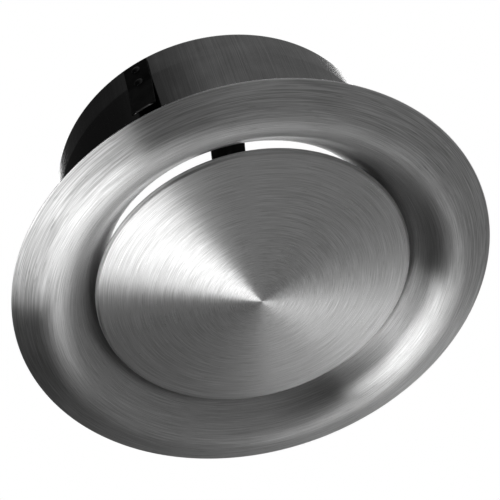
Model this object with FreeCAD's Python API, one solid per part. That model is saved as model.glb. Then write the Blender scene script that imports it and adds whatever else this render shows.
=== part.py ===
"""Ceiling disc valve: a spun steel air diffuser with an adjustable disc.

Frame: millimetres, +Z up. The origin is on the axis, in the plane of the ceiling. The valve
hangs face down: the dished face and the disc point to -Z, the duct spigot goes up to +Z.
The bridge strap lies along X. Each separate piece of the object is one node.
"""
import FreeCAD, Part
import math
import os

from FreeCAD import Vector

# ---- Driving dimensions -------------------------------------------------------------------

# Front ring: one spun sheet. Its outline starts at the rim and runs inwards over the crest.
SHEET = 1.0
RIM_RADIUS = 85.0
RIM_SLOPE = 27.5            # degrees from the ceiling plane
RIM_FLAT = 8.9              # straight part of the outer slope
CREST_RADIUS = 11.6         # bend radius of the crest
THROAT_SLOPE = 49.0         # degrees from the ceiling plane
THROAT_FLAT = 10.7
BELL_RADIUS = 37.0          # bend that turns the throat parallel to the axis
SEAT_BEND = 1.6
SEAT_FLAT = 4.4             # rear flange that carries the bridge

# Neck sleeve: the spigot that enters a 125 mm duct.
NECK_SHEET = 0.8
NECK_RADIUS = 61.0
NECK_REAR_Z = 66.0
NECK_CREASE_Z = 53.0        # behind this the spigot tapers in
NECK_REAR_RADIUS = 59.7
FLARE_BEND = 2.4
FLARE_FLAT = 4.0
LAP_GAP = 0.06              # between two sheets that are spot welded

# Foam gasket behind the ring.
GASKET_INNER = 66.5
GASKET_OUTER = 80.5
GASKET_DEPTH = 3.0
GASKET_OUTER_WALL = 0.7     # height of the foam at its outer edge, under the rim
GASKET_OUTER_SLOPE = 5.0    # width of its sloping outer face
GASKET_INNER_WALL = 2.0
GASKET_INNER_SLOPE = 2.0

# Disc: a shallow spun cone with a turned-back lip.
DISC_RADIUS = 56.0
DISC_SHEET = 1.0
DISC_APEX_Z = -10.3
DISC_SLOPE = 11.2
DISC_TIP_BEND = 22.0
DISC_EDGE_BEND = 1.5
DISC_LIP = 0.5
BRACKET_RADIUS = 28.0
BRACKET_FLANGE = 7.0
BRACKET_TOP_RADIUS = 13.0
BRACKET_REAR_Z = 4.0
BRACKET_WALL_SLANT = 1.2    # radial thickness of its sloping wall, in sheet thicknesses

# M8 screw and the pieces on it.
THREAD_RADIUS = 4.0
THREAD_CLEARANCE = 0.06
NUT_ACROSS_FLATS = 13.0
NUT_HEIGHT = 5.0
LOCK_NUT_HEIGHT = 4.5
WASHER_RADIUS = 8.0
WASHER_HEIGHT = 1.4
COLLAR_RADIUS = 7.0
COLLAR_HEIGHT = 3.0
SPINDLE_FRONT_Z = -5.0
SPINDLE_REAR_Z = 60.0
STOP_GROOVE_RADIUS = 3.4
STOP_RING_RADIUS = 6.6
STOP_RING_HEIGHT = 1.0
STOP_RING_Z = 56.6
STOP_RING_NOTCH = 1.1       # radius of the two reliefs inside the ring
LOCK_WASHER_RADIUS = 7.4
LOCK_WASHER_HEIGHT = 0.9
LOCK_WASHER_TEETH = 12
LOCK_WASHER_NOTCH_WIDTH = 1.3
LOCK_WASHER_NOTCH_DEPTH = 1.2
LOCK_WASHER_BORE_CLEARANCE = 0.35

# Bridge across the rear of the throat.
BRIDGE_WIDTH = 12.0
BRIDGE_SHEET = 1.6
BRIDGE_BOSS_RADIUS = 10.5
BUSH_RADIUS = 6.4
BUSH_FLANGE_RADIUS = 8.6
BUSH_FLANGE_HEIGHT = 1.6
BUSH_FRONT = 4.0            # length in front of the bridge
BUSH_REAR = 2.6             # length behind it
BRIDGE_RIVET_SPREAD = 3.4
RIB_FROM_BOSS = 5.0         # from the boss to the start of a rib
RIB_FROM_SEAT = 7.0         # from the end of a rib to the rivets

# Spring clips on the spigot.
CLIP_ANGLES = (335.0, 95.0, 215.0)
CLIP_SHEET = 0.6
CLIP_WIDTH = 9.5
CLIP_REAR_Z = 64.5
CLIP_BEND_Z = 49.6
CLIP_TIP_Z = 30.6
CLIP_LIFT = 0.25            # how far the free end's root stands off the spigot
CLIP_SPLAY = 3.6            # how far the tip stands out beyond the root
CLIP_TIP_ROUND = 2.2
CLIP_PIVOT_GAP = 0.16
CLIP_RIVET_Z = (60.4, 52.0)
CONTACT_GAP = 0.05

# Rivets.
RIVET_SHANK = 1.0
RIVET_HEAD = 1.7
RIVET_DOME = 0.7
RIVET_TAIL = 0.5
RIVET_CLEARANCE = 0.03

AXIS = Vector(0, 0, 1)
ORIGIN = Vector(0, 0, 0)


# ---- Helpers ------------------------------------------------------------------------------

def in_section(r, z):
    """A point of the half section, at radius r and height z."""
    return Vector(r, 0, z)


def turned(heading, degrees):
    """The heading turned to the left in the half section."""
    angle = math.radians(degrees)
    x = heading.x * math.cos(angle) - heading.z * math.sin(angle)
    z = heading.x * math.sin(angle) + heading.z * math.cos(angle)
    return Vector(x, 0, z)


def outline(start, heading_degrees, steps, offset):
    """Edges of a path of straight runs and bends, offset to the right of its heading.

    A step is ("line", length) or ("bend", radius, degrees), with left turns positive.
    """
    heading = turned(Vector(1, 0, 0), heading_degrees)
    point = start + turned(heading, -90) * offset
    edges = []
    for step in steps:
        if step[0] == "line":
            end = point + heading * step[1]
            edges.append(Part.LineSegment(point, end).toShape())
            point = end
            continue
        radius, turn = step[1], step[2]
        side = 1 if turn > 0 else -1
        radius = radius + side * offset
        centre = point + turned(heading, 90 * side) * radius
        middle = centre + turned(point - centre, turn / 2)
        end = centre + turned(point - centre, turn)
        edges.append(Part.Arc(point, middle, end).toShape())
        point = end
        heading = turned(heading, turn)
    return edges, point


def revolved(edges):
    """The solid of revolution of a closed half section."""
    wire = Part.Wire(Part.__sortEdges__(edges))
    return Part.Face(wire).revolve(ORIGIN, AXIS, 360)


def spun_sheet(start, heading_degrees, steps, thickness):
    """A spun shell whose face follows the path, with its back to the right of it."""
    face, face_end = outline(start, heading_degrees, steps, 0.0)
    back, back_end = outline(start, heading_degrees, steps, thickness)
    start_edge = Part.LineSegment(face[0].Vertexes[0].Point, back[0].Vertexes[0].Point)
    end_edge = Part.LineSegment(face_end, back_end)
    return revolved(face + back + [start_edge.toShape(), end_edge.toShape()])


def revolved_polygon(points):
    """The solid of revolution of a polygon of (radius, height) points."""
    corners = [in_section(r, z) for r, z in points]
    return Part.Face(Part.makePolygon(corners + corners[:1])).revolve(ORIGIN, AXIS, 360)


def tube(outer, inner, bottom, height):
    """A plain ring about the axis."""
    outside = Part.makeCylinder(outer, height, Vector(0, 0, bottom))
    return outside.cut(Part.makeCylinder(inner, height, Vector(0, 0, bottom)))


def hex_nut(bottom, height):
    """A chamfered hexagon nut with a clear M8 bore."""
    corner = NUT_ACROSS_FLATS / math.sqrt(3)
    chamfer = corner - NUT_ACROSS_FLATS / 2
    rim = [Vector(corner * math.cos(math.radians(60 * i)),
                  corner * math.sin(math.radians(60 * i)), bottom) for i in range(6)]
    prism = Part.Face(Part.makePolygon(rim + rim[:1])).extrude(AXIS * height)
    flat = NUT_ACROSS_FLATS / 2
    top = bottom + height
    turned_down = revolved_polygon(((0, bottom), (flat, bottom), (corner, bottom + chamfer),
                                    (corner, top - chamfer), (flat, top), (0, top)))
    bore = Part.makeCylinder(THREAD_RADIUS + THREAD_CLEARANCE, height, Vector(0, 0, bottom))
    return prism.common(turned_down).cut(bore)


def rounded_bar(length, width, height, bottom):
    """A flat bar along X with half-round ends."""
    half = length / 2 - width / 2
    bar = Part.makeBox(2 * half, width, height, Vector(-half, -width / 2, bottom))
    for side in (-1, 1):
        bar = bar.fuse(Part.makeCylinder(width / 2, height, Vector(side * half, 0, bottom)))
    return bar.removeSplitter()


def rivet(seat, tail_seat):
    """A dome-headed rivet: its head stands on seat, and its tail is set at tail_seat."""
    outward = (seat - tail_seat).normalize()
    sphere_radius = (RIVET_HEAD ** 2 + RIVET_DOME ** 2) / (2 * RIVET_DOME)
    dome = Part.makeSphere(sphere_radius, seat + outward * (RIVET_DOME - sphere_radius))
    cap = dome.common(Part.makeCylinder(RIVET_HEAD, RIVET_DOME, seat, outward))
    span = seat.distanceToPoint(tail_seat)
    shank = Part.makeCylinder(RIVET_SHANK, span, tail_seat, outward)
    tail = Part.makeCylinder(RIVET_HEAD - RIVET_TAIL / 2, RIVET_TAIL,
                             tail_seat - outward * RIVET_TAIL, outward)
    return cap.fuse([shank, tail]).removeSplitter()


def rivet_hole(seat, tail_seat):
    """The hole for the shank, running past both faces."""
    direction = (seat - tail_seat).normalize()
    start = tail_seat - direction * SHEET
    span = seat.distanceToPoint(tail_seat) + 2 * SHEET
    return Part.makeCylinder(RIVET_SHANK + RIVET_CLEARANCE, span, start, direction)


# ---- Shared outline points ----------------------------------------------------------------

RING_STEPS = (
    ("line", RIM_FLAT),
    ("bend", CREST_RADIUS, -(RIM_SLOPE + THROAT_SLOPE)),
    ("line", THROAT_FLAT),
    ("bend", BELL_RADIUS, -(90 - THROAT_SLOPE)),
    ("bend", SEAT_BEND, -90),
    ("line", SEAT_FLAT),
)


def ring_point(steps, offset):
    """The end of the first steps of the ring's outline."""
    heading = 180 + RIM_SLOPE
    return outline(in_section(RIM_RADIUS, 0), heading, RING_STEPS[:steps], offset)[1]


SEAT_Z = ring_point(5, 0.0).z                     # rear face of the ring's bridge seat
SEAT_MID_RADIUS = ring_point(5, 0.0).x + SEAT_FLAT / 2
BRIDGE_REAR_Z = SEAT_Z + BRIDGE_SHEET
BUSH_REAR_Z = BRIDGE_REAR_Z + BUSH_REAR
LOCK_NUT_Z = BUSH_REAR_Z + LOCK_WASHER_HEIGHT


# ---- Fixed pieces -------------------------------------------------------------------------

def bridge_rivet_places():
    """Centres of the four rivets that hold the bridge."""
    return [Vector(side * SEAT_MID_RADIUS, offset, 0)
            for side in (-1, 1)
            for offset in (-BRIDGE_RIVET_SPREAD, BRIDGE_RIVET_SPREAD)]


def bridge_rivet_holes():
    """The holes through the bridge and the seat."""
    return [Part.makeCylinder(RIVET_SHANK + RIVET_CLEARANCE, 3 * SHEET + BRIDGE_SHEET,
                              place + AXIS * (SEAT_Z - 2 * SHEET))
            for place in bridge_rivet_places()]


def front_ring():
    """The spun ring: outer slope, crest, bell-mouthed throat and rear seat."""
    start = in_section(RIM_RADIUS, 0)
    sheet = spun_sheet(start, 180 + RIM_SLOPE, RING_STEPS, SHEET)
    return sheet.cut(bridge_rivet_holes())


def neck_sleeve():
    """The spigot: a tapered rear edge, a cylinder and a flare on the back of the ring."""
    throat_top = ring_point(2, SHEET + LAP_GAP)
    slope = math.radians(THROAT_SLOPE)
    inner = NECK_RADIUS - NECK_SHEET
    bend = math.radians(90 - THROAT_SLOPE)
    bend_run = FLARE_BEND * (1 - math.cos(bend))
    flare_start_r = inner + bend_run
    flare_start_z = throat_top.z + (throat_top.x - flare_start_r) * math.tan(slope)
    bend_start_z = flare_start_z + FLARE_BEND * math.sin(bend)
    taper = NECK_RADIUS - NECK_REAR_RADIUS
    taper_height = NECK_REAR_Z - NECK_CREASE_Z
    taper_angle = math.degrees(math.atan(taper / taper_height))
    crease_height = NECK_SHEET * taper / taper_height
    start = in_section(inner - taper, NECK_REAR_Z)
    steps = (
        ("line", math.hypot(taper, taper_height)),
        ("bend", NECK_SHEET, -taper_angle),
        ("line", NECK_CREASE_Z - crease_height - bend_start_z),
        ("bend", FLARE_BEND, 90 - THROAT_SLOPE),
        ("line", FLARE_FLAT),
    )
    return spun_sheet(start, -90 + taper_angle, steps, -NECK_SHEET)


def ceiling_gasket():
    """The foam ring that fills the hollow behind the crest up to the ceiling."""
    return revolved_polygon((
        (GASKET_INNER, 0), (GASKET_OUTER, 0), (GASKET_OUTER, -GASKET_OUTER_WALL),
        (GASKET_OUTER - GASKET_OUTER_SLOPE, -GASKET_DEPTH),
        (GASKET_INNER + GASKET_INNER_SLOPE, -GASKET_DEPTH), (GASKET_INNER, -GASKET_INNER_WALL),
    ))


def bridge_strap():
    """The strap across the throat, with a round boss and a pressed rib on each arm."""
    length = 2 * (SEAT_MID_RADIUS + SEAT_FLAT / 2)
    strap = rounded_bar(length, BRIDGE_WIDTH, BRIDGE_SHEET, SEAT_Z)
    strap = strap.fuse(Part.makeCylinder(BRIDGE_BOSS_RADIUS, BRIDGE_SHEET, Vector(0, 0, SEAT_Z)))
    rib_start = BRIDGE_BOSS_RADIUS + RIB_FROM_BOSS
    rib_end = SEAT_MID_RADIUS - RIB_FROM_SEAT
    rib_width = BRIDGE_WIDTH / 3
    for side in (-1, 1):
        rib = rounded_bar(rib_end - rib_start, rib_width, BRIDGE_SHEET / 2, BRIDGE_REAR_Z)
        rib.translate(Vector(side * (rib_start + rib_end) / 2, 0, 0))
        strap = strap.fuse(rib)
    bore = Part.makeCylinder(BUSH_RADIUS + RIVET_CLEARANCE, BRIDGE_SHEET, Vector(0, 0, SEAT_Z))
    return strap.cut([bore] + bridge_rivet_holes()).removeSplitter()


def bridge_bush():
    """The threaded bush, with its flange against the front of the strap."""
    bore = THREAD_RADIUS + THREAD_CLEARANCE
    front = SEAT_Z - BUSH_FRONT
    body = tube(BUSH_RADIUS, bore, front, BUSH_REAR_Z - front)
    flange = tube(BUSH_FLANGE_RADIUS, bore, SEAT_Z - BUSH_FLANGE_HEIGHT, BUSH_FLANGE_HEIGHT)
    return body.fuse(flange).removeSplitter()


def bridge_rivets():
    """Four rivets, heads on the strap and tails in front of the seat."""
    rivets = []
    for place in bridge_rivet_places():
        rivets.append(rivet(place + AXIS * BRIDGE_REAR_Z, place + AXIS * (SEAT_Z - SHEET)))
    return Part.makeCompound(rivets)


# ---- Disc and screw -----------------------------------------------------------------------

def disc_steps():
    """The face of the disc, from the apex to the rear edge of its lip."""
    slope = math.radians(DISC_SLOPE)
    tip_run = DISC_TIP_BEND * math.sin(slope)
    edge_run = DISC_EDGE_BEND * (1 - math.sin(slope))
    cone = (DISC_RADIUS - tip_run - edge_run) / math.cos(slope)
    return (
        ("bend", DISC_TIP_BEND, DISC_SLOPE),
        ("line", cone),
        ("bend", DISC_EDGE_BEND, 90 - DISC_SLOPE),
        ("line", DISC_LIP),
    )


def disc_shell():
    """The spun disc: the back of the sheet is towards +Z."""
    return spun_sheet(in_section(0, DISC_APEX_Z), 0, disc_steps(), -DISC_SHEET)


def disc_back_z(radius):
    """Height of the back of the disc's cone at a radius."""
    slope = math.radians(DISC_SLOPE)
    tip_run = DISC_TIP_BEND * math.sin(slope)
    tip_rise = DISC_TIP_BEND * (1 - math.cos(slope))
    face = DISC_APEX_Z + tip_rise + (radius - tip_run) * math.tan(slope)
    return face + DISC_SHEET / math.cos(slope)


def disc_bracket():
    """The hat-shaped pressing welded to the back of the disc, which carries the screw."""
    flange_inner = BRACKET_RADIUS - BRACKET_FLANGE
    outer_front = disc_back_z(BRACKET_RADIUS) + LAP_GAP
    inner_front = disc_back_z(flange_inner) + LAP_GAP
    top_front = BRACKET_REAR_Z - DISC_SHEET
    bore = THREAD_RADIUS + THREAD_CLEARANCE
    wall = DISC_SHEET * BRACKET_WALL_SLANT
    return revolved_polygon((
        (BRACKET_RADIUS, outer_front), (flange_inner, inner_front),
        (BRACKET_TOP_RADIUS, top_front), (bore, top_front), (bore, BRACKET_REAR_Z),
        (BRACKET_TOP_RADIUS + wall / 2, BRACKET_REAR_Z),
        (flange_inner + wall, inner_front + DISC_SHEET),
        (BRACKET_RADIUS, outer_front + DISC_SHEET),
    ))


def disc_washer():
    """The washer between the bracket and the nut inside the disc."""
    bottom = BRACKET_REAR_Z - DISC_SHEET - WASHER_HEIGHT
    return tube(WASHER_RADIUS, THREAD_RADIUS + THREAD_CLEARANCE, bottom, WASHER_HEIGHT)


def disc_nut():
    """The nut that clamps the screw to the bracket."""
    return hex_nut(BRACKET_REAR_Z - DISC_SHEET - WASHER_HEIGHT - NUT_HEIGHT, NUT_HEIGHT)


def spindle():
    """The M8 screw: front end, collar behind the bracket, and the stop ring's groove."""
    chamfer = THREAD_RADIUS / 5
    groove_front = STOP_RING_Z - THREAD_CLEARANCE
    groove_rear = STOP_RING_Z + STOP_RING_HEIGHT + THREAD_CLEARANCE
    collar_rear = BRACKET_REAR_Z + COLLAR_HEIGHT
    return revolved_polygon((
        (0, SPINDLE_FRONT_Z), (THREAD_RADIUS - chamfer, SPINDLE_FRONT_Z),
        (THREAD_RADIUS, SPINDLE_FRONT_Z + chamfer), (THREAD_RADIUS, BRACKET_REAR_Z),
        (COLLAR_RADIUS, BRACKET_REAR_Z), (COLLAR_RADIUS, collar_rear - chamfer),
        (COLLAR_RADIUS - chamfer, collar_rear), (THREAD_RADIUS, collar_rear),
        (THREAD_RADIUS, groove_front), (STOP_GROOVE_RADIUS, groove_front),
        (STOP_GROOVE_RADIUS, groove_rear), (THREAD_RADIUS, groove_rear),
        (THREAD_RADIUS, SPINDLE_REAR_Z - chamfer),
        (THREAD_RADIUS - chamfer, SPINDLE_REAR_Z), (0, SPINDLE_REAR_Z),
    ))


def spindle_stop_ring():
    """The open retaining ring in the screw's groove."""
    inner = STOP_GROOVE_RADIUS + THREAD_CLEARANCE
    ring = tube(STOP_RING_RADIUS, inner, STOP_RING_Z, STOP_RING_HEIGHT)
    mouth = Part.makeBox(STOP_RING_RADIUS, 2 * STOP_GROOVE_RADIUS, STOP_RING_HEIGHT,
                         Vector(0, -STOP_GROOVE_RADIUS, STOP_RING_Z))
    ring = ring.cut(mouth)
    for angle in (120, 240):
        notch = Part.makeCylinder(STOP_RING_NOTCH, STOP_RING_HEIGHT, Vector(inner, 0, STOP_RING_Z))
        notch.rotate(ORIGIN, AXIS, angle)
        ring = ring.cut(notch)
    return ring


def lock_washer():
    """The toothed washer between the bush and the lock nut."""
    inner = THREAD_RADIUS + LOCK_WASHER_BORE_CLEARANCE
    washer = tube(LOCK_WASHER_RADIUS, inner, BUSH_REAR_Z, LOCK_WASHER_HEIGHT)
    corner = Vector(LOCK_WASHER_RADIUS - LOCK_WASHER_NOTCH_DEPTH, -LOCK_WASHER_NOTCH_WIDTH / 2,
                    BUSH_REAR_Z)
    notches = []
    for index in range(LOCK_WASHER_TEETH):
        notch = Part.makeBox(2 * LOCK_WASHER_NOTCH_DEPTH, LOCK_WASHER_NOTCH_WIDTH,
                             LOCK_WASHER_HEIGHT, corner)
        notch.rotate(ORIGIN, AXIS, index * 360 / LOCK_WASHER_TEETH)
        notches.append(notch)
    return washer.cut(notches)


def lock_nut():
    """The thin nut that locks the screw's setting from behind."""
    return hex_nut(LOCK_NUT_Z, LOCK_NUT_HEIGHT)


# ---- Spring clips, drawn on +X and turned into place ---------------------------------------

def flat_strip(outline_points):
    """A strip of the clip's width from an (outward, height) side view."""
    corners = [Vector(x, -CLIP_WIDTH / 2, z) for x, z in outline_points]
    side = Part.Face(Part.makePolygon(corners + corners[:1]))
    return side.extrude(Vector(0, CLIP_WIDTH, 0))


def clip_seat(z):
    """Radius of the clip's inner face where it lies on the spigot."""
    behind_crease = max(0.0, z - NECK_CREASE_Z)
    taper = (NECK_RADIUS - NECK_REAR_RADIUS) / (NECK_REAR_Z - NECK_CREASE_Z)
    return NECK_RADIUS + CONTACT_GAP - taper * behind_crease


def clip_rivet_ends(z):
    """Where a clip rivet's head and tail sit, square to the spigot's wall."""
    tilt = 0.0
    if z > NECK_CREASE_Z:
        tilt = math.atan((NECK_RADIUS - NECK_REAR_RADIUS) / (NECK_REAR_Z - NECK_CREASE_Z))
    outward = Vector(math.cos(tilt), 0, math.sin(tilt))
    seat = Vector(clip_seat(z), 0, z)
    head = seat + outward * (CLIP_SHEET + CONTACT_GAP)
    tail = seat - outward * (NECK_SHEET + 3 * CONTACT_GAP)
    return head, tail


def clip_base():
    """The riveted end of a spring clip: it follows the taper and the crease."""
    rear = clip_seat(CLIP_REAR_Z)
    front = clip_seat(CLIP_BEND_Z)
    strip = flat_strip((
        (rear, CLIP_REAR_Z), (front, NECK_CREASE_Z), (front, CLIP_BEND_Z),
        (front + CLIP_SHEET, CLIP_BEND_Z), (front + CLIP_SHEET, NECK_CREASE_Z),
        (rear + CLIP_SHEET, CLIP_REAR_Z),
    ))
    return strip.cut([rivet_hole(*clip_rivet_ends(z)) for z in CLIP_RIVET_Z])


def clip_leaf():
    """The free end of a spring clip, splayed outwards, with rounded corners."""
    top = CLIP_BEND_Z - CLIP_PIVOT_GAP
    inner = clip_seat(CLIP_BEND_Z) + CLIP_LIFT
    leaf = flat_strip((
        (inner, top), (inner + CLIP_SPLAY, CLIP_TIP_Z),
        (inner + CLIP_SPLAY + CLIP_SHEET, CLIP_TIP_Z), (inner + CLIP_SHEET, top),
    ))
    half = CLIP_WIDTH / 2
    reach = 2 * (CLIP_SPLAY + CLIP_SHEET)
    cutters = []
    for side in (-1, 1):
        block = Part.makeBox(reach, CLIP_TIP_ROUND * 2, CLIP_TIP_ROUND * 2)
        low_y = half - CLIP_TIP_ROUND if side > 0 else -half - CLIP_TIP_ROUND
        block.translate(Vector(NECK_RADIUS, low_y, CLIP_TIP_Z - CLIP_TIP_ROUND))
        keep_centre = Vector(NECK_RADIUS, side * (half - CLIP_TIP_ROUND),
                             CLIP_TIP_Z + CLIP_TIP_ROUND)
        keep = Part.makeCylinder(CLIP_TIP_ROUND, reach, keep_centre, Vector(1, 0, 0))
        cutters.append(block.cut(keep))
    return leaf.cut(cutters)


def at_clip(shape, angle):
    """The shape turned about the axis to a clip's place."""
    placed = shape.copy()
    placed.rotate(ORIGIN, AXIS, angle)
    return placed


def neck_with_rivet_holes():
    """The spigot with the holes for the clip rivets."""
    holes = []
    for angle in CLIP_ANGLES:
        for z in CLIP_RIVET_Z:
            holes.append(at_clip(rivet_hole(*clip_rivet_ends(z)), angle))
    return neck_sleeve().cut(holes)


def clip_rivets():
    """Two rivets for each clip, heads outside the spigot."""
    rivets = []
    for angle in CLIP_ANGLES:
        for z in CLIP_RIVET_Z:
            rivets.append(at_clip(rivet(*clip_rivet_ends(z)), angle))
    return Part.makeCompound(rivets)


# ---- Output -------------------------------------------------------------------------------

def nodes():
    """Every node's name and shape."""
    shapes = {
        "front_ring": front_ring(),
        "neck_sleeve": neck_with_rivet_holes(),
        "ceiling_gasket": ceiling_gasket(),
        "bridge_strap": bridge_strap(),
        "bridge_bush": bridge_bush(),
        "bridge_rivets": bridge_rivets(),
        "disc_shell": disc_shell(),
        "disc_bracket": disc_bracket(),
        "disc_washer": disc_washer(),
        "disc_nut": disc_nut(),
        "spindle": spindle(),
        "spindle_stop_ring": spindle_stop_ring(),
        "lock_washer": lock_washer(),
        "lock_nut": lock_nut(),
        "clip_rivets": clip_rivets(),
    }
    for number, angle in enumerate(CLIP_ANGLES, start=1):
        shapes["clip_base_%d" % number] = at_clip(clip_base(), angle)
        shapes["clip_leaf_%d" % number] = at_clip(clip_leaf(), angle)
    return shapes


def main():
    os.makedirs("parts", exist_ok=True)
    for name, shape in nodes().items():
        assert shape.isValid() and shape.Solids, name
        shape.exportStep("parts/%s.step" % name)
        print("%-18s solids %d  volume %9.1f mm3" % (name, len(shape.Solids), shape.Volume))


if __name__ == "__main__":
    main()
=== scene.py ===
"""Looks of a stainless steel ceiling disc valve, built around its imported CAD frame."""
import math

import bmesh
import bpy
from mathutils import Matrix, Vector, noise

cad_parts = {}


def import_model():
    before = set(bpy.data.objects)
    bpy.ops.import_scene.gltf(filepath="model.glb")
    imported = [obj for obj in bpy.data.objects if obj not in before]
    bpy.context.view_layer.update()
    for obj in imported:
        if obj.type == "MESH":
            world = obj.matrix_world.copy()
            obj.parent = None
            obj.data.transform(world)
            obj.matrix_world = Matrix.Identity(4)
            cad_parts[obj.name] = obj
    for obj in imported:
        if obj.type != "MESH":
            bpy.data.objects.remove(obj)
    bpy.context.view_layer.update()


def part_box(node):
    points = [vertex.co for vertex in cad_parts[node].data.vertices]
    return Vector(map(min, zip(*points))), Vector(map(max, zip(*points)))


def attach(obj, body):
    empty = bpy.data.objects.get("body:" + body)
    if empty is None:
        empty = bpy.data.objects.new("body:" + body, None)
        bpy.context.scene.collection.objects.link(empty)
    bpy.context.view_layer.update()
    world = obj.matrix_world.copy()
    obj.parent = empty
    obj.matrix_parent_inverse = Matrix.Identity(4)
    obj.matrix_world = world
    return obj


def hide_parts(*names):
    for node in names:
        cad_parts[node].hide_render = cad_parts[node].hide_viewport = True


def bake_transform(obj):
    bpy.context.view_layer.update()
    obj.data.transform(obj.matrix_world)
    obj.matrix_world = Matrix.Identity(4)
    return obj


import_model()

MM = 0.001

# ---- Spun sheets, in metres and degrees ------------------------------------------------------
SEGMENTS = 360
EDGE_BREAK = 0.12 * MM
SHEET = 1.0 * MM
RIM_RADIUS = 85.0 * MM
RIM_SLOPE = 27.5
THROAT_SLOPE = 49.0
RING_STEPS = (
    ("line", 8.9 * MM),
    ("bend", 11.6 * MM, -(RIM_SLOPE + THROAT_SLOPE)),
    ("line", 10.7 * MM),
    ("bend", 37.0 * MM, -(90 - THROAT_SLOPE)),
    ("bend", 1.6 * MM, -90),
    ("line", 4.4 * MM),
)
NECK_SHEET = 0.8 * MM
NECK_RADIUS = 61.0 * MM
NECK_REAR_Z = 66.0 * MM
NECK_CREASE_Z = 53.0 * MM
NECK_REAR_RADIUS = 59.7 * MM
FLARE_BEND = 2.4 * MM
FLARE_FLAT = 4.0 * MM
LAP_GAP = 0.06 * MM
WELD_RADIUS = 63.6 * MM
WELD_COUNT = 12
WELD_SIZE = 2.4 * MM
DISC_RADIUS = 56.0 * MM
DISC_APEX_Z = -10.3 * MM
DISC_SLOPE = 11.2
DISC_TIP_BEND = 22.0 * MM
DISC_EDGE_BEND = 1.5 * MM
DISC_LIP = 0.5 * MM
GASKET_INNER = 66.5 * MM
GASKET_OUTER = 80.5 * MM
GASKET_DEPTH = 3.0 * MM
GASKET_RIM = 0.7 * MM        # height of the outer wall above the chamfer
GASKET_CHAMFER = 5.0 * MM
GASKET_BORE_CHAMFER = 2.0 * MM
GASKET_ROUND = 0.8 * MM
FOAM_STEP = 0.7 * MM
FOAM_PIT_DEPTH = 0.12 * MM
FOAM_SEGMENTS = 540
FOAM_PITS = 1400.0          # noise cells to the metre

# ---- Screw, bracket and bridge ---------------------------------------------------------------
BRACKET_RADIUS = 28.0 * MM
BRACKET_FLANGE = 7.0 * MM
BRACKET_TOP_RADIUS = 13.0 * MM
BRACKET_REAR_Z = 4.0 * MM
BRACKET_WALL = SHEET * 1.2   # measured level, through the sloping wall
BRACKET_BEND = 1.6 * MM
THREAD_RADIUS = 4.0 * MM
THREAD_ROOT = 3.3 * MM
THREAD_PITCH = 1.25 * MM
CLEARANCE = 0.06 * MM
BORE = THREAD_RADIUS + CLEARANCE
NUT_ACROSS_FLATS = 13.0 * MM
NUT_HEIGHT = 5.0 * MM
LOCK_NUT_HEIGHT = 4.5 * MM
WASHER_RADIUS = 8.0 * MM
WASHER_HEIGHT = 1.4 * MM
COLLAR_RADIUS = 7.0 * MM
COLLAR_HEIGHT = 3.0 * MM
SPINDLE_FRONT_Z = -5.0 * MM
SPINDLE_REAR_Z = 60.0 * MM
STOP_GROOVE_RADIUS = 3.4 * MM
STOP_RING_RADIUS = 6.6 * MM
STOP_RING_HEIGHT = 1.0 * MM
STOP_RING_Z = 56.6 * MM
STOP_RING_NOTCH = 1.1 * MM
STOP_RING_EDGE = 0.1 * MM
LOCK_WASHER_RADIUS = 7.4 * MM
LOCK_WASHER_HEIGHT = 0.9 * MM
LOCK_WASHER_TEETH = 12
LOCK_WASHER_SHEET = 0.5 * MM
LOCK_WASHER_TOOTH = 1.2 * MM
LOCK_WASHER_CLEARANCE = 0.35 * MM
BRIDGE_WIDTH = 12.0 * MM
BRIDGE_SHEET = 1.6 * MM
BRIDGE_BOSS_RADIUS = 10.5 * MM
BRIDGE_RIVET_SPREAD = 3.4 * MM
BRIDGE_EDGE = 0.18 * MM
BRIDGE_SEAT_INSET = 2.2 * MM
RIB_FROM_BOSS = 5.0 * MM
RIB_FROM_SEAT = 7.0 * MM
BUSH_FIT = 0.03 * MM
BUSH_RADIUS = 6.4 * MM
BUSH_FLANGE_RADIUS = 8.6 * MM
BUSH_FLANGE_HEIGHT = 1.6 * MM
BUSH_FRONT = 4.0 * MM
BUSH_REAR = 2.6 * MM
RIVET_SHANK = 1.0 * MM
RIVET_HEAD = 1.7 * MM
RIVET_DOME = 0.7 * MM
RIVET_TAIL = 0.5 * MM

# ---- Spring clips ----------------------------------------------------------------------------
CLIP_ANGLES = (335.0, 95.0, 215.0)
CLIP_SHEET = 0.6 * MM
CLIP_WIDTH = 9.5 * MM
CLIP_REAR_Z = 64.5 * MM
CLIP_BEND_Z = 49.6 * MM
CLIP_TIP_Z = 30.6 * MM
CLIP_LIFT = 0.25 * MM
CLIP_SPLAY = 3.6 * MM
CLIP_TIP_ROUND = 2.2 * MM
CLIP_ROOT_ROUND = 0.5 * MM
CLIP_EDGE = 0.12 * MM
CLIP_STEP = 0.5 * MM
CLIP_RIVET_Z = (60.4 * MM, 52.0 * MM)

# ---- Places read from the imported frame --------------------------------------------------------
strap_low, strap_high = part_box("bridge_strap")
SEAT_Z = strap_low.z
BRIDGE_REAR_Z = SEAT_Z + BRIDGE_SHEET
BRIDGE_LENGTH = 2 * strap_high.x
SEAT_MID_RADIUS = strap_high.x - BRIDGE_SEAT_INSET
BUSH_REAR_Z = BRIDGE_REAR_Z + BUSH_REAR
LOCK_NUT_Z = BUSH_REAR_Z + LOCK_WASHER_HEIGHT

# ---- Camera: how it looks at the valve -------------------------------------------------------
CAMERA_AZIMUTH = 80.0
CAMERA_ELEVATION = -49.03
CAMERA_ROLL = 18.8
CAMERA_DISTANCE = 0.696
CAMERA_AIM = Vector((8.7, 0.35, 7.4)) * MM
CAMERA_LENS = 144.0
CAMERA_SENSOR = 36.0


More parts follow.
